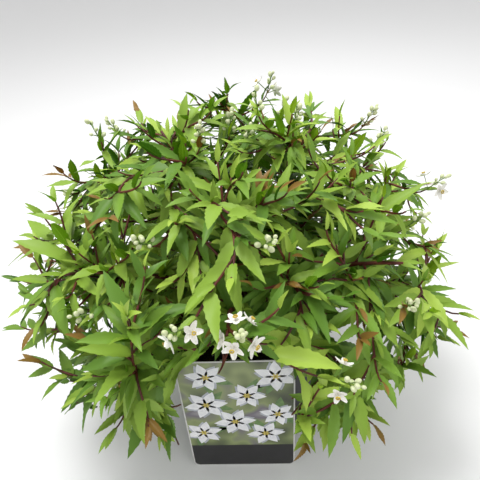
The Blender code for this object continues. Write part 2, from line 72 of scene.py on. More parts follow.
# The camera, with its lens and sensor in millimetres
CAMERA_HEIGHT = 0.4418
CAMERA_AWAY = 0.3330
CAMERA_AZIMUTH = math.radians(3.89)
CAMERA_ASIDE = 0.0041
CAMERA_PITCH = math.radians(35.92)
CAMERA_ROLL = math.radians(4.39)
CAMERA_LENS = 36
CAMERA_SENSOR = 36

# The studio
FLOOR_REACH = 3.0
BACKDROP_HEIGHT = 3.0
WORLD_STRENGTH = 0.72
LIGHTS_AIM = Vector((0, 0, 0.15))
# Name, place, size and watts of each soft light
LIGHTS = (
    ("key", (-0.25, 0.05, 1.4), 0.5, 12),
    ("fill", (0.8, -0.7, 0.9), 0.8, 1.5),
    ("back", (0.2, 0.9, 1.1), 0.8, 3),
)

# The pot, as in the solids
GAP = 0.0003
POT_HEIGHT = 0.140
POT_FOOT_RADIUS = 0.067
POT_SHOULDER_RADIUS = 0.0835
RIM_RADIUS = 0.0875
RIM_DEPTH = 0.012
POT_WALL = 0.0015

# The pot's rounded foot, three shallow steps, ledge and rolled rim
POT_SIDES = 128
POT_SHARP = math.radians(50)
BASE_RING = 0.050
FOOT_ROUNDING = 0.0025
FOOT_STEPS = 4
STEP_HEIGHTS = (0.030, 0.060, 0.090)
STEP_RISE = 0.0005
STEP_INSET = 0.0004
# The ledge's points: radius, and height above the shoulder
LEDGE = (
    (POT_SHOULDER_RADIUS - 0.0005, -0.0006),
    (POT_SHOULDER_RADIUS, 0),
    (RIM_RADIUS - 0.0010, 0.0006),
    (RIM_RADIUS - 0.0004, 0.0016),
)
RIM_ROLL = 0.0018
RIM_ROLL_STEPS = 6
RIM_INSIDE = 0.006
# Where the pot is closed inside, under the mix
INNER_FLOOR = 0.100

# The potting mix's top, as in the solids, and what lies on it
MIX_HEIGHT = 0.125
MIX_EDGE_DROP = 0.006
MIX_RINGS = 34
MIX_SIDES = 120
MIX_CALM_RADIUS = 0.014
BARK_CHIPS = 260
BARK_CHIP_SIZE = 0.0050
PERLITE_GRAINS = 70
PERLITE_GRAIN_SIZE = 0.0016
# Grains lie between these shares of the mix's area, with measures as shares of their size
GRAIN_AREA = (0.04, 0.92)
GRAIN_SHAPE = ((0.6, 1.3), (0.4, 0.8), (0.2, 0.4))
GRAIN_RADIUS = 0.6
GRAIN_ROUGHNESS = 0.09
GRAIN_RISE = 0.12
GRAIN_TILT = 0.2

# The label, as in the solids, and its bevel
CARD_WIDTH = 0.095
CARD_HEIGHT = 0.149
CARD_FOOT = 0.001
CARD_THICKNESS = 0.0008
CARD_CORNER = 0.006
CARD_CORNER_STEPS = 8
CARD_MIDDLE_X = -0.002
CARD_EDGE = 0.0003
TONGUE_WIDTH = 0.024
TONGUE_Y = -0.0800
TONGUE_FOOT = 0.130

# The label's print: a blurred ground, a dark band, and blossoms in layers of ink
PRINT_INSET = 0.0012
PRINT_MARGIN = 0.0015
BAND_HEIGHT = 0.034
GROUND_PROUD = 0.00006
INK_PROUD = {"leaf": 0.00010, "shade": 0.00012, "petal": 0.00015, "eye": 0.00018}
# The blossoms' middles: millimetres from the card's middle and up from its foot
BLOSSOMS_MM = ((-27, 94), (8, 106), (33, 80), (-4, 70), (-33, 54), (22, 52), (-24, 130), (32, 130))
BLOSSOM_PETALS = 6
BLOSSOM_LEAVES = 2
INK_LEAF = (0.024, 0.009)
INK_EYE = (0.0042, 0.0016)
PETAL_INK_WIDTH = 0.50
# A petal's shade: its length and width by the blossom's size, and its turn
SHADE_INK = (0.96, 0.56, 0.2)
LOBE_STEPS = 7
LOBE_FULLNESS = 0.8

# The stem, as in the solids
STEM_HEIGHT = 0.030
STEM_FOOT_RADIUS = 0.0125
STEM_RADIUS = 0.0082
STEM_TOP_RADIUS = 0.0068
STEM_LEAN = 0.0016
STEM_UPRIGHT = 0.12
# How the stem tapers and flares here
STEM_STEPS = 14
STEM_TAPER = 0.15
FLARE_FALL = 0.9

# The boughs and the spines that they go on as, as in the solids but for swell and root
BOUGH_FOOT_RADIUS = 0.0028
BOUGH_TIP_RADIUS = 0.0022
BOUGH_SWELL = 1.15
BOUGH_POINTS = 20
BOUGH_PULLS = (0.35, 0.30)
BOUGH_ROOT = 0.006
TOP_SEAT = 0.52
TOP_RAISE = 1.3
OVER_RIM = 0.022
SPINE_REACH = 0.84
SPINE_TIP_RADIUS = 0.0012
SPINE_POINTS = 14
SPINE_PULLS = (0.38, 0.32)
SPINE_FALL = math.radians(12)

# The bark's relief as a share of the radius, and how much of it is long ridges
LIMB_SIDES = 9
BARK_RELIEF = 0.10
RIDGE_SHARE = 0.6
TWIG_SIDES = 5

# The crown's outline, as in the solids
HEART = Vector((0, 0, 0.152))
CROWN_RADIUS = 0.200
CROWN_RISE = 0.175
CROWN_FALL = 0.090
FRONT_TRIM = 0.15
LOWEST_SHOOT = math.radians(-23)
WINDOW_HALF_WIDTH = 0.036
WINDOW_SLOPE = 1.1
WINDOW_FOOT = 0.142
# What grows keeps this far from the pot and the space before the label
CLEARANCE = 0.004
LOWEST_LEAF = 0.045

# The rings of boughs, in degrees and metres
Ring = namedtuple("Ring", "name count first step elevation fork lift share")
RINGS = (
    Ring("low", 7, 40, 280 / 6, -12, 0.009, 36, 0.43),
    Ring("mid", 6, 0, 60, 28, 0.019, 44, 0.30),
    Ring("top", 3, -6, 120, 62, 0.030, 74, 0.26),
)

# The shoots, dealt evenly over the crown by a low-discrepancy series
SHOOTS = 760
EVEN_STEPS = (0.7548776662466927, 0.5698402909980532)
SHOOT_REACH = 0.96
# One in this many stays inside the crown, about this share of the way out
INNER_EVERY = 3
INNER_SHARE = 0.62
INNER_SPREAD = (0.75, 1.35)
# Below this elevation every second shoot is left out
THIN_BELOW = math.radians(-6)
SHORTEST_SHOOT = 0.030
SHOOT_RADIUS = 0.0011
SHOOT_TIP_RADIUS = 0.0006
SHOOT_POINTS = 8
SHOOT_PULLS = (0.36, 0.34)
# How much a shoot's start follows its limb, and how much its end turns out and up
SHOOT_FOLLOWS = 0.55
SHOOT_TURNS_OUT = 0.3
SHOOT_TURNS_UP = 0.80
# Where further shoots may leave a limb: places among its points
SHOOT_KNOTS = (2, 3, 4, 5)
FIRST_BOUGH_KNOT = 8
# How much a limb that already heads for a shoot's end is preferred
HEADING_GAIN = 0.35

# The leaves, in opposite pairs that turn from one to the next
NODE_SPACING = 0.0145
SPACING_SHARES = (0.85, 1.2)
LEAF_LENGTH = 0.044
LENGTH_SHARES = (0.85, 1.12)
LEAF_WIDTH_SHARE = 0.27
LEAF_SPREAD = math.radians(52)
SPREAD_SHARES = (0.75, 1.2)
LEAF_DROOP = 0.06
TURN_SCATTER = 0.35
SPINE_BARE = 0.04
SHOOT_BARE = 0.18
# From this far before the tip, leaves shrink and close up, down to these shares
TIP_STRETCH = 0.045
TIP_SIZE = 0.38
TIP_OPENING = 0.6
TIP_COLOUR_REACH = 0.007
TIP_LEAVES = 3
TIP_LEAF_SHARES = (0.24, 0.44)
TIP_LEAF_OUT = 0.2
# How blades scatter, and how much they face outwards
AIM_SCATTER = 0.10
FACING_OUT = 0.55
FACING_SCATTER = 0.22
# Where a bent blade's middle and tip are, as shares of its length and bend
MIDDLE_SAG = 0.04
TIP_SHORTENING = 0.12
TIP_SAG = 0.42
BLADE_SPACING = 0.0044
# A twig nearer to upright than this has its pairs set by the X axis
LEAST_LEVEL = 0.2

# The blade: stations along it, columns across it, and its lanceolate, toothed outline
STATIONS = 17
COLUMNS = 5
ROOT_FULLNESS = 0.55
TIP_SHARPNESS = 1.02
TOOTH_NOTCH = 0.86
STALK_SHARE = 0.05
STALK_WIDTH = 0.045
QUILTING = 0.018
CURL_WAVES = 7
CURL_SHARE = 0.35
# The margin round the blade's place in its UV map
UV_MARGIN = 0.02

# Each green: its name, the blade's face, rib and underside, and its share of the shoots
Green = namedtuple("Green", "name upper rib under share")
GREENS = (
    Green("bright", "#6f9e10", "#8db735", "#85a53a", 0.34),
    Green("fresh", "#58870c", "#77a52a", "#719532", 0.30),
    Green("deep", "#3b6b08", "#588a20", "#5d832a", 0.24),
    Green("lime", "#92b91e", "#abcb48", "#a0bc4a", 0.12),
)
# Young leaves at some tips are bronze, and at half of the others lime
BRONZE = Green("bronze", "#7d4f1e", "#94702e", "#86682e", 0.24)
LIME_TIPS = 0.5

# The side ribs: how many pairs along the blade, and their slant
SIDE_RIBS = 9
RIB_SLANT = 0.42

# Flower heads in degrees from the label's side and above level, and how full they are
FLOWER_HEADS = ((22, 25), (-16, 29), (4, 36), (96, 30), (-150, 24), (160, 50))
FIRST_HEAD_FLOWERS = 5
HEAD_FLOWERS = 2
HEAD_BUDS = 6
# Clusters of buds alone: at one shoot's tip in this many, if it is above this height
BUDS_EVERY = 14
BUDS_ABOVE = 0.19
BUD_COUNTS = (5, 9)
GOLDEN_TURN = 2.4
HEAD_LIFT = 0.5
HEAD_AXIS_LENGTH = 0.018
# Stalks leave the head's axis from here on, over this stretch
STALKS_START = 0.002
STALKS_STRETCH = 0.016
STALK_UPRIGHT = 0.35
STALK_SPREAD_FALL = 0.7
FLOWER_STALK = 0.011
BUD_STALK = 0.005
STALK_RADII = (0.00035, 0.0004)
AXIS_RADII = (0.0006, 0.0004)
STALK_SIDES = 4
BUD_LENGTHENING = 1.35

# The flower: five cupped petals and nine stamens, in shares of its size but for the radii
FLOWER_PETALS = 5
PETAL_ROWS = 6
PETAL_COLUMNS = (-1, -0.5, 0, 0.5, 1)
PETAL_HALF_WIDTH = 0.30
PETAL_FULLNESS = 0.7
# The stretch of a half wave that the petal's width follows
PETAL_WAVE = (0.10, 0.84, 0.97)
PETAL_RISE = 0.34
PETAL_DIP = 0.10
PETAL_CUP = 0.07
STAMENS = 9
STAMEN_HEIGHT = 0.42
STAMEN_SPREADS = (0.12, 0.2)
STAMEN_RADIUS = 0.00018
ANTHER_RADIUS = 0.0005


def linear(hex_colour):
    """An sRGB hex colour as linear numbers with alpha."""
    channels = [int(hex_colour[place:place + 2], 16) / 255 for place in (1, 3, 5)]
    return (*(((c + 0.055) / 1.055) ** 2.4 if c > 0.04045 else c / 12.92 for c in channels), 1)


def add(tree, kind, inputs=None, **settings):
    """Adds a shader node with its settings, and sets each input or links a socket to it."""
    node = tree.nodes.new("ShaderNode" + kind)
    for name, value in settings.items():
        setattr(node, name, value)
    for name, value in (inputs or {}).items():
        if isinstance(value, bpy.types.NodeSocket):
            tree.links.new(value, node.inputs[name])
        else:
            node.inputs[name].default_value = value
    return node


def surface(name, roughness, ior=1.45, sheen=0.0, coat=0.0):
    """A new material: itself, its tree and its Principled shader with even values."""
    made = bpy.data.materials.new(name)
    made.use_nodes = True
    shader = made.node_tree.nodes["Principled BSDF"]
    values = {"Roughness": roughness, "IOR": ior, "Sheen Weight": sheen, "Coat Weight": coat}
    for socket, value in values.items():
        shader.inputs[socket].default_value = value
    return made, made.node_tree, shader


def mottled(name, roughness, grain_mm, stops, detail=3.0, relief_mm=0.0, **values):
    """A material whose colour, and relief where it has one, follow grains of one size."""
    made, tree, shader = surface(name, roughness, **values)
    where = add(tree, "TexCoord").outputs["Object"]
    size = {"Vector": where, "Scale": 1 / (grain_mm * MM), "Detail": detail}
    grain = add(tree, "TexNoise", size).outputs[0]
    colours = add(tree, "ValToRGB", {"Fac": grain})
    elements = colours.color_ramp.elements
    while len(elements) < len(stops):
        elements.new(0.5)
    for element, (place, colour) in zip(elements, stops):
        element.position = place
        element.color = linear(colour)
    tree.links.new(colours.outputs[0], shader.inputs["Base Color"])
    if relief_mm:
        relief = add(tree, "Bump", {"Distance": relief_mm * MM, "Height": grain})
        tree.links.new(relief.outputs[0], shader.inputs["Normal"])
    return made


def inked(name, roughness, colour, darker, grain_mm):
    """Ink, wax or card of nearly one colour: a faint mottle keeps it from looking flat."""
    return mottled(name, roughness, grain_mm, ((0.3, darker), (0.7, colour)))


def black_polypropylene():
    """Moulded recycled polypropylene: near-black, with a soft grey bloom and a fine dull grain."""
    bloom = ((0.35, "#222224"), (0.7, "#303033"))
    made = mottled("black_polypropylene", 0.42, 14, bloom, ior=1.49)
    tree = made.node_tree
    shader = tree.nodes["Principled BSDF"]
    where = add(tree, "TexCoord").outputs["Object"]
    size = {"Vector": where, "Scale": 1 / (0.7 * MM), "Detail": 3.0}
    grain = add(tree, "TexNoise", size).outputs[0]
    dullness = add(tree, "MapRange", {"Value": grain, "To Min": 0.36, "To Max": 0.56})
    tree.links.new(dullness.outputs[0], shader.inputs["Roughness"])
    relief = add(tree, "Bump", {"Distance": 0.05 * MM, "Height": grain})
    tree.links.new(relief.outputs[0], shader.inputs["Normal"])
    return made


def moist_peat():
    """Moist peat: very dark brown and matt, in crumbs about 2 mm across."""
    stops = ((0.3, "#120b08"), (0.55, "#2a1b12"), (0.75, "#4a3324"))
    return mottled("moist_peat", 0.95, 2.0, stops, detail=6.0, relief_mm=0.9)


def composted_bark():
    """Composted pine bark: brown chips with paler broken faces."""
    stops = ((0.3, "#24150d"), (0.6, "#4b2f1d"), (0.8, "#6b4a30"))
    return mottled("composted_bark", 0.9, 1.5, stops, detail=4.0, relief_mm=0.4)


def perlite():
    """Expanded perlite: off-white, matt and pitted."""
    return mottled("perlite", 0.9, 0.6, ((0.3, "#bdb8aa"), (0.7, "#e6e3da")), relief_mm=0.2)


def peeling_bark():
    """Two-year bark: grey-brown and papery, mottled where it peels."""
    stops = ((0.3, "#3a2418"), (0.55, "#6a4a34"), (0.8, "#93765a"))
    return mottled("peeling_bark", 0.8, 1.6, stops, detail=5.0, relief_mm=0.3)


def young_red_bark():
    """This year's bark: smooth, red-brown and a little glossy."""
    stops = ((0.3, "#42201b"), (0.6, "#6b3026"), (0.85, "#7c5233"))
    return mottled("young_red_bark", 0.5, 9.0, stops)


def white_petal():
    """Fresh petals: white, soft and a little waxy, with the faint sheen of their fine cells."""
    return mottled("white_petal", 0.5, 1.2, ((0.35, "#eceadf"), (0.65, "#fbfaf5")), sheen=0.1)


def printed_ground():
    """Varnished print of a garden out of focus: soft greens, plum and grey under a thin gloss."""
    stops = ((0.25, "#343a26"), (0.42, "#647044"), (0.55, "#87935f"), (0.68, "#6b6470"), (0.85, "#b3b3ae"))
    return mottled("printed_ground", 0.28, 26, stops, detail=1.0, coat=0.3)


def leaf_blade(green):
    """Thin deciduous leaf: satin above with paler ribs, and a paler, duller underside."""
    made, tree, shader = surface(green.name + "_leaf_blade", 0.48, ior=1.36)
    places = add(tree, "UVMap", uv_map="OFBake").outputs[0]
    along, across, _ = add(tree, "SeparateXYZ", {0: places}).outputs
    offset = add(tree, "Math", {0: across, 1: 0.5}, operation="SUBTRACT")
    aside = add(tree, "Math", {0: offset.outputs[0]}, operation="ABSOLUTE").outputs[0]
    slant = add(tree, "Math", {0: aside, 1: -RIB_SLANT, 2: along}, operation="MULTIPLY_ADD")
    beats = {0: slant.outputs[0], 1: math.tau * SIDE_RIBS}
    beat = add(tree, "Math", beats, operation="MULTIPLY")
    wave = add(tree, "Math", {0: beat.outputs[0]}, operation="COSINE").outputs[0]
    side_range = {"Value": wave, "From Min": 0.80, "To Max": 0.42}
    side_ribs = add(tree, "MapRange", side_range).outputs[0]
    midrib_range = {"Value": aside, "From Min": 0.012, "From Max": 0.045, "To Min": 0.9, "To Max": 0.0}
    midrib = add(tree, "MapRange", midrib_range).outputs[0]
    ribs = add(tree, "Math", {0: side_ribs, 1: midrib}, operation="MAXIMUM").outputs[0]
    face_mix = {0: ribs, 6: linear(green.upper), 7: linear(green.rib)}
    face = add(tree, "Mix", face_mix, data_type="RGBA").outputs[2]
    turned_over = add(tree, "NewGeometry").outputs["Backfacing"]
    both_mix = {0: turned_over, 6: face, 7: linear(green.under)}
    both = add(tree, "Mix", both_mix, data_type="RGBA").outputs[2]
    tree.links.new(both, shader.inputs["Base Color"])
    return made


def shown(name, data, look, smooth=True):
    """A new object that shows this mesh in this material."""
    data.materials.append(look)
    if smooth:
        data.shade_smooth()
    made = bpy.data.objects.new(name, data)
    bpy.context.scene.collection.objects.link(made)
    return made


def placed(name, points, faces, look, smooth=True):
    """A new object from points and faces."""
    data = bpy.data.meshes.new(name)
    data.from_pydata([tuple(point) for point in points], [], [tuple(face) for face in faces])
    return shown(name, data, look, smooth)


def formed(name, mesh, look, smooth=True):
    """A new object from a bmesh, which is freed."""
    data = bpy.data.meshes.new(name)
    mesh.to_mesh(data)
    mesh.free()
    return shown(name, data, look, smooth)


def worn(piece, slot, *nodes):
    """The piece rides on the plant's body and stands for its nodes, which it hides; the slot is not used.
    """
    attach(piece, "root")
    if nodes:
        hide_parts(*nodes)


def outward(azimuth, elevation):
    """The direction at this azimuth from the label's side and this height above level."""
    level = math.cos(elevation)
    return Vector((math.sin(azimuth) * level, -math.cos(azimuth) * level, math.sin(elevation)))


def arc(across, up, radius, start, sweep, steps):
    """Points round an arc about its middle, from start over sweep, both in degrees."""
    angles = [math.radians(start + sweep * step / steps) for step in range(steps + 1)]
    return [(across + radius * math.cos(angle), up + radius * math.sin(angle)) for angle in angles]


def spoke(turn, angle):
    """The direction at this angle about the turn's own axis."""
    return turn @ Vector((math.cos(angle), math.sin(angle), 0))


def closed(count):
    """Each place in a closed ring, with the one after it."""
    return [(place, (place + 1) % count) for place in range(count)]


def pot_outer(height):
    """The outer radius of the pot's wall below the rim."""
    return POT_FOOT_RADIUS + (POT_SHOULDER_RADIUS - POT_FOOT_RADIUS) * height / (POT_HEIGHT - RIM_DEPTH)


def pot_profile():
    """The pot's section as (radius, height), from underneath over the rim to the inside."""
    shoulder = POT_HEIGHT - RIM_DEPTH
    profile = [(0, 0), (BASE_RING, 0)]
    profile += arc(POT_FOOT_RADIUS - FOOT_ROUNDING, FOOT_ROUNDING, FOOT_ROUNDING, -90, 90, FOOT_STEPS)
    for low in STEP_HEIGHTS:
        high = low + STEP_RISE
        profile += [(pot_outer(low), low), (pot_outer(high) - STEP_INSET, high)]
    profile += [(radius, shoulder + rise) for radius, rise in LEDGE]
    profile += arc(RIM_RADIUS - RIM_ROLL, POT_HEIGHT - RIM_ROLL, RIM_ROLL, 0, 180, RIM_ROLL_STEPS)
    profile.append((POT_SHOULDER_RADIUS - POT_WALL, POT_HEIGHT - RIM_INSIDE))
    profile += [(pot_outer(INNER_FLOOR) - POT_WALL, INNER_FLOOR), (0, INNER_FLOOR)]
    return profile


def build_pot():
    """The moulded pot, turned about its axis."""
    mesh = bmesh.new()
    points = [mesh.verts.new((radius, 0, height)) for radius, height in pot_profile()]
    edges = [mesh.edges.new(pair) for pair in zip(points, points[1:])]
    bmesh.ops.spin(mesh, geom=points + edges, axis=UP, angle=math.tau, steps=POT_SIDES, use_merge=True)
    bmesh.ops.remove_doubles(mesh, verts=mesh.verts, dist=WELD)
    bmesh.ops.recalc_face_normals(mesh, faces=mesh.faces)
    pot = formed("moulded_pot", mesh, black_polypropylene())
    pot.data.set_sharp_from_angle(angle=POT_SHARP)
    worn(pot, "pot", "nursery_pot")


def build_mix():
    """The mix's crumbly top, with chips of bark and a few grains of perlite."""
    edge = pot_outer(MIX_HEIGHT - MIX_EDGE_DROP) - POT_WALL - GAP
    rng = random.Random(SEED + 1)
    points = [(0, 0, MIX_HEIGHT)]
    for ring in range(1, MIX_RINGS + 1):
        share = ring / MIX_RINGS
        radius = edge * share
        height = MIX_HEIGHT - MIX_EDGE_DROP * share ** 2
        for side in range(MIX_SIDES):
            angle = math.tau * side / MIX_SIDES
            crumb = 0 if radius < MIX_CALM_RADIUS else rng.uniform(-0.0016, 0.0012)
            points.append((radius * math.cos(angle), radius * math.sin(angle), height + crumb))
    faces = [(0, 1 + side, 1 + after) for side, after in closed(MIX_SIDES)]
    for ring in range(MIX_RINGS - 1):
        first = 1 + ring * MIX_SIDES
        outer = first + MIX_SIDES
        for side, after in closed(MIX_SIDES):
            faces.append((first + side, outer + side, outer + after, first + after))
    worn(placed("mix_surface", points, faces, moist_peat()), "mix", "potting_mix")
    scatter_grains("bark_chips", BARK_CHIPS, BARK_CHIP_SIZE, composted_bark(), edge, rng)
    scatter_grains("perlite_grains", PERLITE_GRAINS, PERLITE_GRAIN_SIZE, perlite(), edge, rng)


def scatter_grains(name, count, size, look, edge, rng):
    """Flattened, rough grains lying on the mix, joined into one piece."""
    mesh = bmesh.new()
    for _ in range(count):
        angle = rng.uniform(0, math.tau)
        radius = edge * math.sqrt(rng.uniform(*GRAIN_AREA))
        height = MIX_HEIGHT - MIX_EDGE_DROP * (radius / edge) ** 2 + size * GRAIN_RISE
        middle = Vector((radius * math.cos(angle), radius * math.sin(angle), height))
        shape = Vector([rng.uniform(*limits) for limits in GRAIN_SHAPE]) * size
        axis = (rng.gauss(0, GRAIN_TILT), rng.gauss(0, GRAIN_TILT), 1)
        turn = Quaternion(axis, rng.uniform(0, math.tau))
        place = Matrix.LocRotScale(middle, turn, shape)
        ball = bmesh.ops.create_icosphere(mesh, subdivisions=1, radius=GRAIN_RADIUS, matrix=place)
        for vertex in ball["verts"]:
            vertex.co += Vector([rng.uniform(-1, 1) for _ in range(3)]) * size * GRAIN_ROUGHNESS
    worn(formed(name, mesh, look, smooth=False), "mix")


def card_outline(inset):
    """The card's rounded outline as (x, z), set in by inset."""
    half = CARD_WIDTH / 2 - CARD_CORNER
    tall = CARD_HEIGHT / 2 - CARD_CORNER
    middle_z = CARD_FOOT + CARD_HEIGHT / 2
    outline = []
    for quarter, (side, rise) in enumerate(((1, 1), (-1, 1), (-1, -1), (1, -1))):
        corner = (CARD_MIDDLE_X + side * half, middle_z + rise * tall)
        outline += arc(*corner, CARD_CORNER - inset, quarter * 90, 90, CARD_CORNER_STEPS)
    return outline


def build_label():
    """The plastic card with its hooked tongue, and its print."""
    back = -(RIM_RADIUS + GAP)
    front = back - CARD_THICKNESS
    rings = ((CARD_EDGE, front), (0, front + CARD_EDGE), (0, back - CARD_EDGE), (CARD_EDGE, back))
    points = [(x, y, z) for inset, y in rings for x, z in card_outline(inset)]
    count = len(points) // len(rings)
    last = (len(rings) - 1) * count
    faces = [tuple(range(count)), tuple(range(last, last + count))[::-1]]
    for first in range(0, last, count):
        further = first + count
        for place, after in closed(count):
            faces.append((first + place, further + place, further + after, first + after))
    add_tongue(points, faces, back)
    white = inked("white_polystyrene_card", 0.35, "#d9d8d6", "#cccbc8", 30)
    worn(placed("label_card", points, faces, white, smooth=False), "label", "picture_label")
    build_print(front)
    build_blossoms(front)


def add_tongue(points, faces, back):
    """Adds the strip over the rim and down inside to the card's mesh."""
    over = POT_HEIGHT + GAP
    side = CARD_MIDDLE_X - TONGUE_WIDTH / 2
    outer = back - CARD_THICKNESS / 2
    inner = TONGUE_Y + CARD_THICKNESS
    top = over + CARD_THICKNESS
    hook = [(outer, over), (outer, top), (inner, top), (inner, TONGUE_FOOT)]
    hook += [(TONGUE_Y, TONGUE_FOOT), (TONGUE_Y, over)]
    near = len(points)
    far = near + len(hook)
    points += [(side, y, z) for y, z in hook]
    points += [(side + TONGUE_WIDTH, y, z) for y, z in hook]
    faces.append(tuple(range(near, far))[::-1])
    faces.append(tuple(range(far, far + len(hook))))
    for place, after in closed(len(hook)):
        faces.append((near + place, near + after, far + after, far + place))


def build_print(front):
    """The blurred ground above, and the bare dark band below it."""
    band_top = CARD_FOOT + BAND_HEIGHT
    proud = front - GROUND_PROUD
    outline = card_outline(PRINT_INSET)
    count = len(outline)
    ground = [(x, max(z, band_top)) for x, z in outline]
    band = [(x, min(z, band_top)) for x, z in outline]
    for name, edge, look in (
        ("label_picture_ground", ground, printed_ground()),
        ("label_band", band, inked("black_ink", 0.3, "#1d1b1e", "#131214", 12)),
    ):
        middle_z = sum(z for _, z in edge) / count
        corners = [(CARD_MIDDLE_X, middle_z), *edge]
        points = [Vector((x, proud, z)) for x, z in corners]
        # Corners that the band's edge draws together have no face
        faces = [
            (0, 1 + here, 1 + after)
            for here, after in closed(count)
            if (points[1 + here] - points[1 + after]).length > WELD
        ]
        worn(placed(name, points, faces, look, smooth=False), "label")


def lobe(middle, angle, length, width, depth):
    """A pointed oval in the card's plane, its middle first."""
    along = Vector((math.cos(angle), 0, math.sin(angle)))
    side = Vector((-along.z, 0, along.x))
    points = [middle + along * length * 0.5]
    for sign in (1, -1):
        for step in range(LOBE_STEPS + 1):
            share = step / LOBE_STEPS if sign == 1 else 1 - step / LOBE_STEPS
            spread = sign * width / 2 * math.sin(math.pi * share ** LOBE_FULLNESS)
            points.append(middle + along * length * share + side * spread)
    return [Vector((point.x, depth, point.z)) for point in points]


def build_blossoms(front):
    """A generic scatter of six-petalled blossoms with leaves, in flat layers of ink."""
    rng = random.Random(SEED + 2)
    inks = {
        "leaf": inked("green_ink", 0.3, "#6f8f52", "#4d6b3c", 5),
        "petal": inked("white_ink", 0.3, "#f0f0f2", "#dcdde2", 5),
        "shade": inked("grey_ink", 0.3, "#b9bcc4", "#9ba0aa", 4),
        "eye": inked("yellow_ink", 0.3, "#d8c766", "#b09a3c", 2),
    }
    layers = {ink: ([], []) for ink in inks}

    def stamp(ink, middle, angle, length, width):
        points, faces = layers[ink]
        first = len(points)
        points.extend(lobe(middle, angle, length, width, front - INK_PROUD[ink]))
        for here, after in closed(len(points) - first - 1):
            faces.append((first, first + 1 + here, first + 1 + after))

    shade_length, shade_width, shade_turn = SHADE_INK
    for x_mm, z_mm in BLOSSOMS_MM:
        middle = Vector((CARD_MIDDLE_X + x_mm * MM, 0, CARD_FOOT + z_mm * MM))
        for _ in range(BLOSSOM_LEAVES):
            stamp("leaf", middle, rng.uniform(0, math.tau), *INK_LEAF)
        turn = rng.uniform(0, math.tau)
        size = rng.uniform(0.0150, 0.0190)
        for petal in range(BLOSSOM_PETALS):
            swing = math.tau * petal / BLOSSOM_PETALS
            angle = turn + swing
            stamp("shade", middle, angle + shade_turn, size * shade_length, size * shade_width)
            stamp("petal", middle, angle, size, size * PETAL_INK_WIDTH)
            stamp("eye", middle, swing, *INK_EYE)
    left = CARD_MIDDLE_X - CARD_WIDTH / 2 + PRINT_MARGIN
    right = CARD_MIDDLE_X + CARD_WIDTH / 2 - PRINT_MARGIN
    for ink, (points, faces) in layers.items():
        for point in points:
            point.x = min(max(point.x, left), right)
            point.z = max(point.z, CARD_FOOT + BAND_HEIGHT)
        worn(placed("label_print_" + ink, points, faces, inks[ink], smooth=False), "label")


def crown_point(azimuth, elevation, share):
    """The point at a share of the way from the crown's heart to its outline."""
    facing = max(0, math.cos(azimuth))
    radius = CROWN_RADIUS * (1 - FRONT_TRIM * facing * facing)
    height = CROWN_RISE if elevation > 0 else CROWN_FALL
    reach = 1 / math.hypot(math.cos(elevation) / radius, math.sin(elevation) / height)
    return HEART + outward(azimuth, elevation) * reach * share


def before_label(point):
    """Whether a point hangs in the open space in front of the label."""
    out = -point.y - RIM_RADIUS
    below = WINDOW_FOOT + WINDOW_SLOPE * out
    aside = abs(point.x - CARD_MIDDLE_X)
    return out > 0 and aside < WINDOW_HALF_WIDTH + CLEARANCE and point.z < below


def blocked(point):
    """Whether a point lies too low, before the label, or in or close to the pot."""
    if point.z < LOWEST_LEAF or before_label(point):
        return True
    radius = math.hypot(point.x, point.y)
    return radius < RIM_RADIUS + CLEARANCE and point.z < POT_HEIGHT + CLEARANCE


def curved(start, first, end, arrive, pulls, count):
    """A route that leaves in one direction and arrives in another."""
    length = (end - start).length
    leave = start + first * length * pulls[0]
    reach = end - arrive * length * pulls[1]
    return interpolate_bezier(start, leave, reach, end, count)


def heading_at(route, place):
    """The direction of the route from one of its points to the next."""
    return (route[place + 1] - route[place]).normalized()


def past(route, place):
    """From the point before this one on the route to the point after it."""
    return route[min(place + 1, len(route) - 1)] - route[max(place - 1, 0)]


def bough_route(ring, azimuth):
    """The bough's middle line, as the solids have it, with its root in the stem."""
    lift = math.radians(ring.lift)
    elevation = math.radians(ring.elevation)
    side = outward(azimuth, 0)
    first = outward(azimuth, lift)
    height = MIX_HEIGHT + GAP + ring.fork
    if ring.fork < STEM_HEIGHT:
        clear = STEM_RADIUS + GAP + BOUGH_FOOT_RADIUS * math.sin(lift)
    else:
        clear = STEM_TOP_RADIUS * TOP_SEAT
        height += 2 * GAP + BOUGH_FOOT_RADIUS * math.cos(lift) * TOP_RAISE
    lean = Vector((STEM_LEAN * min(1, ring.fork / STEM_HEIGHT), 0, 0))
    foot = side * clear + lean + Vector((0, 0, height))
    end = crown_point(azimuth, elevation, ring.share)
    if elevation < 0:
        end.z = POT_HEIGHT + OVER_RIM
    arrive = (end - foot).normalized() * 0.5 + outward(azimuth, elevation) * 0.5
    route = curved(foot, first, end, arrive, BOUGH_PULLS, BOUGH_POINTS)
    return [foot - first * BOUGH_ROOT] + route


def spine_route(route, azimuth, elevation):
    """The mass's own stem, on from the bough's tip to near the crown's outline."""
    end = crown_point(azimuth, elevation, SPINE_REACH)
    fall = outward(azimuth, elevation - SPINE_FALL)
    return curved(route[-1], heading_at(route, -2), end, fall, SPINE_PULLS, SPINE_POINTS)


def shoot_route(start, heading, target, outside):
    """A shoot that leaves its limb along it and turns out and up towards its tip."""
    aim = (target - start).normalized()
    first = (heading * SHOOT_FOLLOWS + aim).normalized()
    arrive = (outside * SHOOT_TURNS_OUT + aim + UP * SHOOT_TURNS_UP).normalized()
    return curved(start, first, target, arrive, SHOOT_PULLS, SHOOT_POINTS)


def tapering(start, end, count):
    """Evenly stepped radii from start to end."""
    return [start + (end - start) * step / (count - 1) for step in range(count)]


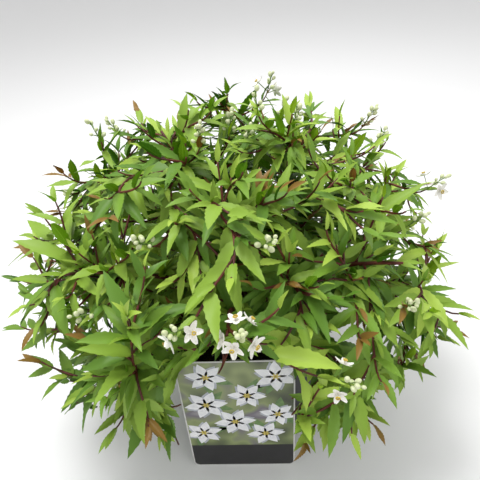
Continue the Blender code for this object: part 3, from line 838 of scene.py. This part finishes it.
class Tubes:
    """Tapering tubes gathered into one mesh, with ridged bark where they have relief."""

    def __init__(self, sides, relief=0.0):
        self.sides = sides
        self.relief = relief
        self.points = []
        self.faces = []
        self.rng = random.Random(SEED + 3)

    def add(self, route, radii):
        """Adds one closed tube along the route."""
        tangent = route[1] - route[0]
        turn = tangent.to_track_quat("Z", "Y")
        first = len(self.points)
        ridges = [self.rng.uniform(-1, 1) for _ in range(self.sides)]
        for index, (point, radius) in enumerate(zip(route, radii)):
            ahead = past(route, index)
            turn = tangent.rotation_difference(ahead) @ turn
            tangent = ahead
            for side, ridge in enumerate(ridges):
                angle = math.tau * side / self.sides
                bumps = RIDGE_SHARE * ridge + (1 - RIDGE_SHARE) * self.rng.uniform(-1, 1)
                grown = radius * (1 + self.relief * bumps)
                offset = Vector((math.cos(angle), math.sin(angle), 0)) * grown
                self.points.append(point + turn @ offset)
        last = len(self.points) - self.sides
        for near in range(first, last, self.sides):
            far = near + self.sides
            for side, after in closed(self.sides):
                self.faces.append((near + side, near + after, far + after, far + side))
        self.faces.append(tuple(range(first, first + self.sides))[::-1])
        self.faces.append(tuple(range(last, last + self.sides)))

    def object(self, name, look):
        """All tubes as one object."""
        return placed(name, self.points, self.faces, look)


def blade_pattern():
    """Each point's share along the blade, its place across from -1 to 1, and the breadth."""
    u = np.linspace(0, 1, STATIONS)[:, None] * np.ones((1, COLUMNS))
    v = np.ones((STATIONS, 1)) * np.linspace(-1, 1, COLUMNS)[None, :]
    breadth = (u ** ROOT_FULLNESS) * (1 - u) ** TIP_SHARPNESS
    breadth /= breadth.max()
    teeth = np.where(np.arange(STATIONS) % 2 == 0, 1.0, TOOTH_NOTCH)[:, None]
    breadth = np.where(np.abs(v) == 1, breadth * teeth, breadth)
    stalk = np.clip(u / STALK_SHARE, 0, 1)
    breadth = np.maximum(breadth * stalk, STALK_WIDTH * (1 - u))
    return u, v, breadth


def blade_points(blades):
    """The points of all blades, bent along their length and folded along their ribs."""
    columns = [np.array(column)[:, None, None] for column in zip(*blades)]
    root, along, side, upper, length, width, bend, fold, curl = columns
    u, v, breadth = (part[None] for part in blade_pattern())
    angle = bend * u
    ahead = length * np.sin(angle) / bend
    drop = -length * (1 - np.cos(angle)) / bend
    across = v * breadth * width / 2
    beat = np.where(np.arange(STATIONS) % 2 == 0, 1, -1)[None, :, None]
    quilt = np.where(np.abs(v) == 0.5, 1.0, 0.0) * beat
    lift = fold * np.abs(across) + quilt * width * QUILTING
    lift += curl * np.sin(u * CURL_WAVES) * across * CURL_SHARE
    normal = upper * np.cos(angle)[..., None] + along * np.sin(angle)[..., None]
    points = root + along * ahead[..., None] + upper * drop[..., None]
    points = points + side * across[..., None] + normal * lift[..., None]
    return points.reshape(-1, 3)


def build_blades(name, blades, look):
    """One piece of all blades of a colour, which share one place in the UV map."""
    points = blade_points(blades)
    grid = np.arange(STATIONS * COLUMNS).reshape(STATIONS, COLUMNS)
    corners = (grid[:-1, :-1], grid[:-1, 1:], grid[1:, 1:], grid[1:, :-1])
    quads = np.stack(corners, -1).reshape(-1, 4)
    firsts = np.arange(len(blades)) * grid.size
    faces = (quads[None] + firsts[:, None, None]).reshape(-1, 4)[:, ::-1]
    data = bpy.data.meshes.new(name)
    data.vertices.add(len(points))
    data.vertices.foreach_set("co", points.ravel())
    data.loops.add(faces.size)
    data.loops.foreach_set("vertex_index", faces.ravel())
    data.polygons.add(len(faces))
    data.polygons.foreach_set("loop_start", np.arange(0, faces.size, 4))
    data.update(calc_edges=True)
    u, v, _ = blade_pattern()
    places = np.stack([u, (v + 1) / 2], -1).reshape(-1, 2) * (1 - 2 * UV_MARGIN) + UV_MARGIN
    places = np.tile(places, (len(blades), 1))[faces.ravel()]
    layer = data.uv_layers.new(name="OFBake")
    layer.uv.foreach_set("vector", places.ravel().astype(np.float32))
    data.validate()
    worn(shown(name, data, look), "foliage")


def pick_green(rng):
    """The name of one of the greens, by their shares."""
    draw = rng.random()
    for green in GREENS:
        draw -= green.share
        if draw < 0:
            return green.name
    return GREENS[0].name


class Crown:
    """What grows: limbs, twigs and blades, and the places where more may grow."""

    def __init__(self):
        self.limbs = Tubes(LIMB_SIDES, BARK_RELIEF)
        self.twigs = Tubes(TWIG_SIDES)
        self.blades = {}
        self.taken = {}
        self.knots = []
        self.ends = []
        self.heads = []
        self.rng = random.Random(SEED + 4)

    def room(self, point):
        """Whether no other blade's middle lies close by, in which case this one's is noted."""
        cell = tuple(math.floor(value / BLADE_SPACING) for value in point)
        for step in product((-1, 0, 1), repeat=3):
            near = tuple(here + more for here, more in zip(cell, step))
            for other in self.taken.get(near, ()):
                if (other - point).length < BLADE_SPACING:
                    return False
        self.taken.setdefault(cell, []).append(point)
        return True

    def leaf(self, colour, root, along, outside, length):
        """One blade from its root, unless it is blocked or has no room."""
        rng = self.rng
        along = (along + Vector([rng.gauss(0, AIM_SCATTER) for _ in range(3)])).normalized()
        facing = UP + outside * FACING_OUT + Vector([rng.gauss(0, FACING_SCATTER) for _ in range(3)])
        upper = (facing - along * facing.dot(along)).normalized()
        bend = rng.uniform(0.10, 0.80)
        middle = root + along * length * 0.5 - upper * length * MIDDLE_SAG * bend
        tip = root + along * length * (1 - bend * TIP_SHORTENING) - upper * length * bend * TIP_SAG
        if blocked(middle) or blocked(tip) or not self.room(middle):
            return
        width = length * LEAF_WIDTH_SHARE * rng.uniform(0.88, 1.18)
        fold = rng.uniform(0.15, 0.55)
        curl = rng.gauss(0, 0.6)
        side = along.cross(upper).normalized()
        upper = side.cross(along).normalized()
        blade = (root, along, side, upper, length, width, bend, fold, curl)
        self.blades.setdefault(colour, []).append(blade)

    def pair(self, colour, root, tangent, turn, outside, length, opening):
        """Two opposite leaves, turned about the twig."""
        level = tangent.cross(UP)
        if level.length < LEAST_LEVEL:
            level = Vector((1, 0, 0))
        side = Quaternion(tangent, turn) @ level.normalized()
        for sign in (1, -1):
            spread = LEAF_SPREAD * opening * self.rng.uniform(*SPREAD_SHARES)
            along = tangent * math.cos(spread) + side * sign * math.sin(spread)
            along = (along - UP * LEAF_DROOP).normalized()
            self.leaf(colour, root, along, outside, length * self.rng.uniform(*LENGTH_SHARES))

    def dress(self, route, outside, bare, colour, tip_colour):
        """Pairs along a shoot from its bare foot on, and a tuft of small leaves at its tip."""
        rng = self.rng
        spans = [(after - here).length for here, after in zip(route, route[1:])]
        total = sum(spans)
        walked = total * bare
        turn = rng.uniform(-0.5, 0.5)
        while walked < total:
            rest = walked
            index = 0
            while index < len(spans) - 1 and rest > spans[index]:
                rest -= spans[index]
                index += 1
            root = route[index].lerp(route[index + 1], min(1, rest / spans[index]))
            left = (total - walked) / TIP_STRETCH
            size = LEAF_LENGTH * min(1.0, TIP_SIZE + (1 - TIP_SIZE) * left)
            opening = min(1.0, TIP_OPENING + (1 - TIP_OPENING) * left)
            here = tip_colour if total - walked < TIP_COLOUR_REACH else colour
            self.pair(here, root, heading_at(route, index), turn, outside, size, opening)
            turn += math.pi / 2 + rng.uniform(-TURN_SCATTER, TURN_SCATTER)
            walked += NODE_SPACING * rng.uniform(*SPACING_SHARES)
        aim = (heading_at(route, -2) + outside * TIP_LEAF_OUT).normalized()
        for _ in range(TIP_LEAVES):
            lean = Quaternion(outside, rng.uniform(-0.6, 0.6)) @ aim
            length = LEAF_LENGTH * rng.uniform(*TIP_LEAF_SHARES)
            self.leaf(tip_colour, route[-1], lean, outside, length)

    def nearest_knot(self, target, outside):
        """The knot a shoot starts from: the nearest by distance and heading, further in, or None."""
        best = None
        for point, heading in self.knots:
            gap = target - point
            far = gap.length
            if far < SHORTEST_SHOOT or gap.dot(outside) < 0:
                continue
            cost = far * (1 + HEADING_GAIN - HEADING_GAIN * heading.dot(gap) / far)
            if best is None or cost < best[0]:
                best = (cost, point, heading)
        return best and best[1:]


def shoot_targets():
    """Points dealt evenly over the crown, most near its outline and some inside."""
    rng = random.Random(SEED)
    lowest = math.sin(LOWEST_SHOOT)
    for index in range(SHOOTS):
        azimuth = math.tau * ((index * EVEN_STEPS[0]) % 1) - math.pi
        elevation = math.asin(lowest + (1 - lowest) * ((0.5 + index * EVEN_STEPS[1]) % 1))
        share = SHOOT_REACH * rng.uniform(0.74, 1.0)
        if index % INNER_EVERY == 0 and elevation > 0:
            share *= rng.uniform(*[INNER_SHARE * limit for limit in INNER_SPREAD])
        target = crown_point(azimuth, elevation, share)
        thinned = elevation < THIN_BELOW and index % 2
        if not thinned and not before_label(target):
            yield target


def grow_stem(crown):
    """The short stem, with its flare at the foot."""
    route = []
    radii = []
    for step in range(STEM_STEPS + 1):
        rise = step / STEM_STEPS
        lean = STEM_LEAN * max(0, rise - STEM_UPRIGHT) / (1 - STEM_UPRIGHT)
        route.append(Vector((lean, 0, MIX_HEIGHT + STEM_HEIGHT * rise)))
        flare = (STEM_FOOT_RADIUS - STEM_RADIUS) * math.exp(-step * FLARE_FALL)
        radii.append((STEM_RADIUS + flare) * (1 - STEM_TAPER * step / STEM_STEPS))
    crown.limbs.add(route, radii)


def grow_boughs(crown):
    """Each bough, the leafy spine that it goes on as, and the knots on both."""
    for ring in RINGS:
        elevation = math.radians(ring.elevation)
        for index in range(ring.count):
            azimuth = math.radians(ring.first + ring.step * index)
            route = bough_route(ring, azimuth)
            foot_radius = BOUGH_FOOT_RADIUS * BOUGH_SWELL
            crown.limbs.add(route, tapering(foot_radius, BOUGH_TIP_RADIUS, len(route)))
            spine = spine_route(route, azimuth, elevation)
            crown.twigs.add(spine, tapering(BOUGH_TIP_RADIUS, SPINE_TIP_RADIUS, len(spine)))
            outside = outward(azimuth, elevation)
            crown.dress(spine, outside, SPINE_BARE, pick_green(crown.rng), "bright")
            for place, point in enumerate(spine):
                crown.knots.append((point, past(spine, place).normalized()))
            for place in range(FIRST_BOUGH_KNOT, len(route) - 1):
                crown.knots.append((route[place], heading_at(route, place)))


def grow_shoots(crown):
    """Each shoot from the best knot so far to its target, with its leaves and its own knots."""
    targets = list(shoot_targets())
    flowering = []
    for head in FLOWER_HEADS:
        spot = crown_point(*map(math.radians, head), SHOOT_REACH)
        flowering.append(min(range(len(targets)), key=lambda place: (targets[place] - spot).length))
    for number, target in enumerate(targets):
        outside = (target - HEART).normalized()
        knot = crown.nearest_knot(target, outside)
        if knot is None:
            continue
        route = shoot_route(*knot, target, outside)
        if any(blocked(point) for point in route):
            continue
        crown.twigs.add(route, tapering(SHOOT_RADIUS, SHOOT_TIP_RADIUS, len(route)))
        for place in SHOOT_KNOTS:
            crown.knots.append((route[place], heading_at(route, place)))
        green = pick_green(crown.rng)
        if crown.rng.random() < BRONZE.share:
            tip = BRONZE.name
        else:
            tip = "lime" if crown.rng.random() < LIME_TIPS else green
        crown.dress(route, outside, SHOOT_BARE, green, tip)
        crown.ends.append((route[-1], heading_at(route, -2), outside))
        if number in flowering:
            crown.heads.append(crown.ends[-1])


def build_petals(flower, petals):
    """Adds a flower's petals, cupped along their length and across, to the petals' mesh."""
    middle, facing, size, turn, spin = flower
    points, faces = petals
    start, stretch, most = PETAL_WAVE
    columns = len(PETAL_COLUMNS)
    for petal in range(FLOWER_PETALS):
        angle = spin + math.tau * petal / FLOWER_PETALS
        out = spoke(turn, angle)
        side = spoke(turn, angle + math.pi / 2)
        first = len(points)
        for row in range(PETAL_ROWS):
            share = row / (PETAL_ROWS - 1)
            wave = math.sin(math.pi * min(most, start + stretch * share))
            wide = size * PETAL_HALF_WIDTH * wave ** PETAL_FULLNESS
            rise = size * (PETAL_RISE * share ** 2 - PETAL_DIP * share)
            for column in PETAL_COLUMNS:
                cup = size * PETAL_CUP * column * column
                spot = middle + out * size * share + side * wide * column
                points.append(spot + facing * (rise + cup))
        for row in range(PETAL_ROWS - 1):
            for column in range(columns - 1):
                here = first + row * columns + column
                faces.append((here, here + 1, here + 1 + columns, here + columns))


def build_stamens(flower, stamens, anthers, rng):
    """Adds a flower's stamens, and notes where their anthers sit."""
    middle, facing, size, turn, spin = flower
    for stamen in range(STAMENS):
        out = spoke(turn, spin + math.tau * stamen / STAMENS)
        end = middle + facing * size * STAMEN_HEIGHT
        end = end + out * size * rng.uniform(*STAMEN_SPREADS)
        stamens.add([middle, end], [STAMEN_RADIUS, STAMEN_RADIUS])
        anthers.append((end, ANTHER_RADIUS, facing))


def build_beads(name, beads, detail, look):
    """Anthers or buds: slightly long beads, joined into one piece."""
    mesh = bmesh.new()
    for middle, radius, facing in beads:
        shape = Vector((1, 1, BUD_LENGTHENING)) * radius
        place = Matrix.LocRotScale(middle, facing.to_track_quat("Z", "Y"), shape)
        bmesh.ops.create_icosphere(mesh, subdivisions=detail, radius=1, matrix=place)
    worn(formed(name, mesh, look), "foliage")


def build_flowers(crown):
    """Heads of flowers and buds at some shoots' tips, and buds alone at others."""
    rng = random.Random(SEED + 5)
    petals = ([], [])
    stalks = Tubes(STALK_SIDES)
    stamens = Tubes(STALK_SIDES)
    anthers = []
    buds = []
    clusters = []
    for place, head in enumerate(crown.heads):
        clusters.append((head, FIRST_HEAD_FLOWERS if place == 0 else HEAD_FLOWERS, HEAD_BUDS))
    for end in crown.ends[::BUDS_EVERY]:
        if end[0].z > BUDS_ABOVE:
            clusters.append((end, 0, rng.randint(*BUD_COUNTS)))
    for (tip, tangent, outside), flowers, more in clusters:
        axis = (tangent + outside + UP * HEAD_LIFT).normalized()
        for place in range(flowers + more):
            side = (Quaternion(axis, place * GOLDEN_TURN) @ axis.orthogonal()).normalized()
            share = place / (flowers + more)
            facing = axis * (STALK_UPRIGHT + share) + side * (1.0 - STALK_SPREAD_FALL * share)
            facing = facing.normalized()
            root = tip + axis * (STALKS_START + STALKS_STRETCH * share)
            end = root + facing * (FLOWER_STALK if place < flowers else BUD_STALK)
            stalks.add([root, end], STALK_RADII)
            if place < flowers:
                size = rng.uniform(0.0060, 0.0076)
                turn = facing.to_track_quat("Z", "Y")
                flower = (end, facing, size, turn, rng.uniform(0, math.tau))
                build_petals(flower, petals)
                build_stamens(flower, stamens, anthers, rng)
            else:
                radius = rng.uniform(0.0012, 0.0019)
                buds.append((end, radius, facing))
        stalks.add([tip, tip + axis * HEAD_AXIS_LENGTH], AXIS_RADII)
    worn(placed("petals", *petals, white_petal()), "foliage")
    green = inked("green_flower_stalk", 0.6, "#7c9a4c", "#66813e", 4)
    worn(stalks.object("flower_stalks", green), "foliage")
    white = inked("white_stamen", 0.6, "#f0efe2", "#dedcc8", 4)
    worn(stamens.object("stamens", white), "foliage")
    build_beads("anthers", anthers, 1, inked("yellow_anther", 0.7, "#dcc257", "#bfa23c", 1))
    build_beads("buds", buds, 2, inked("pale_bud", 0.5, "#dfe3bf", "#c3cd97", 2))


def build_crown():
    """Grows the plant, and builds its bark, twigs, leaves, buds and flowers."""
    crown = Crown()
    grow_stem(crown)
    grow_boughs(crown)
    grow_shoots(crown)
    places = [f"{ring.name}_{index + 1}" for ring in RINGS for index in range(ring.count)]
    limbs = crown.limbs.object("stem_and_boughs", peeling_bark())
    worn(limbs, "stem", "short_stem", *[f"bough_{place}" for place in places])
    twigs = crown.twigs.object("twigs", young_red_bark())
    worn(twigs, "foliage", *[f"foliage_{place}" for place in places])
    looks = {green.name: leaf_blade(green) for green in (*GREENS, BRONZE)}
    for colour, blades in crown.blades.items():
        build_blades("leaves_" + colour, blades, looks[colour])
    build_flowers(crown)


def build_stage():
    """A plain pale floor that goes up into a far backdrop, under soft lights."""
    near, far, high = -FLOOR_REACH, FLOOR_REACH, BACKDROP_HEIGHT
    points = [(near, near, 0), (far, near, 0), (far, far, 0), (near, far, 0)]
    points += [(far, far, high), (near, far, high)]
    look, _, shader = surface("pale_floor", 0.9)
    shader.inputs["Base Color"].default_value = linear("#f4f4f4")
    placed("floor", points, [(0, 1, 2, 3), (3, 2, 4, 5)], look, smooth=False)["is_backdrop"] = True
    scene = bpy.context.scene
    scene.view_settings.view_transform = "Standard"
    scene.world = bpy.data.worlds.new("studio")
    scene.world.use_nodes = True
    background = scene.world.node_tree.nodes["Background"]
    background.inputs["Color"].default_value = (1, 1, 1, 1)
    background.inputs["Strength"].default_value = WORLD_STRENGTH
    for name, place, size, watts in LIGHTS:
        light = bpy.data.lights.new(name, "AREA")
        light.size = size
        light.energy = watts
        lamp = bpy.data.objects.new(name, light)
        lamp.location = place
        lamp.rotation_euler = (LIGHTS_AIM - Vector(place)).to_track_quat("-Z", "Y").to_euler()
        scene.collection.objects.link(lamp)


def place_camera():
    """The camera, pitched down at the plant and rolled a little."""
    out = outward(CAMERA_AZIMUTH, 0)
    right = Vector((-out.y, out.x, 0))
    ahead = -out * math.cos(CAMERA_PITCH) - UP * math.sin(CAMERA_PITCH)
    up = right.cross(ahead)
    rolled_right = right * math.cos(CAMERA_ROLL) - up * math.sin(CAMERA_ROLL)
    rolled_up = right * math.sin(CAMERA_ROLL) + up * math.cos(CAMERA_ROLL)
    data = bpy.data.cameras.new("camera")
    data.lens = CAMERA_LENS
    data.sensor_width = CAMERA_SENSOR
    camera = bpy.data.objects.new("camera", data)
    place = out * CAMERA_AWAY + right * CAMERA_ASIDE + UP * CAMERA_HEIGHT
    turn = Matrix((rolled_right, rolled_up, -ahead)).transposed()
    camera.matrix_world = Matrix.Translation(place) @ turn.to_4x4()
    bpy.context.scene.collection.objects.link(camera)
    bpy.context.scene.camera = camera


def main():
    """Builds the stage, the pot and all in and on it."""
    build_stage()
    place_camera()
    build_pot()
    build_mix()
    build_label()
    build_crown()
    sizes = {"cad": CAD_BOX, "visual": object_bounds()}
    {name: [[float(v) for v in corner] for corner in pair] for name, pair in sizes.items()}


main()
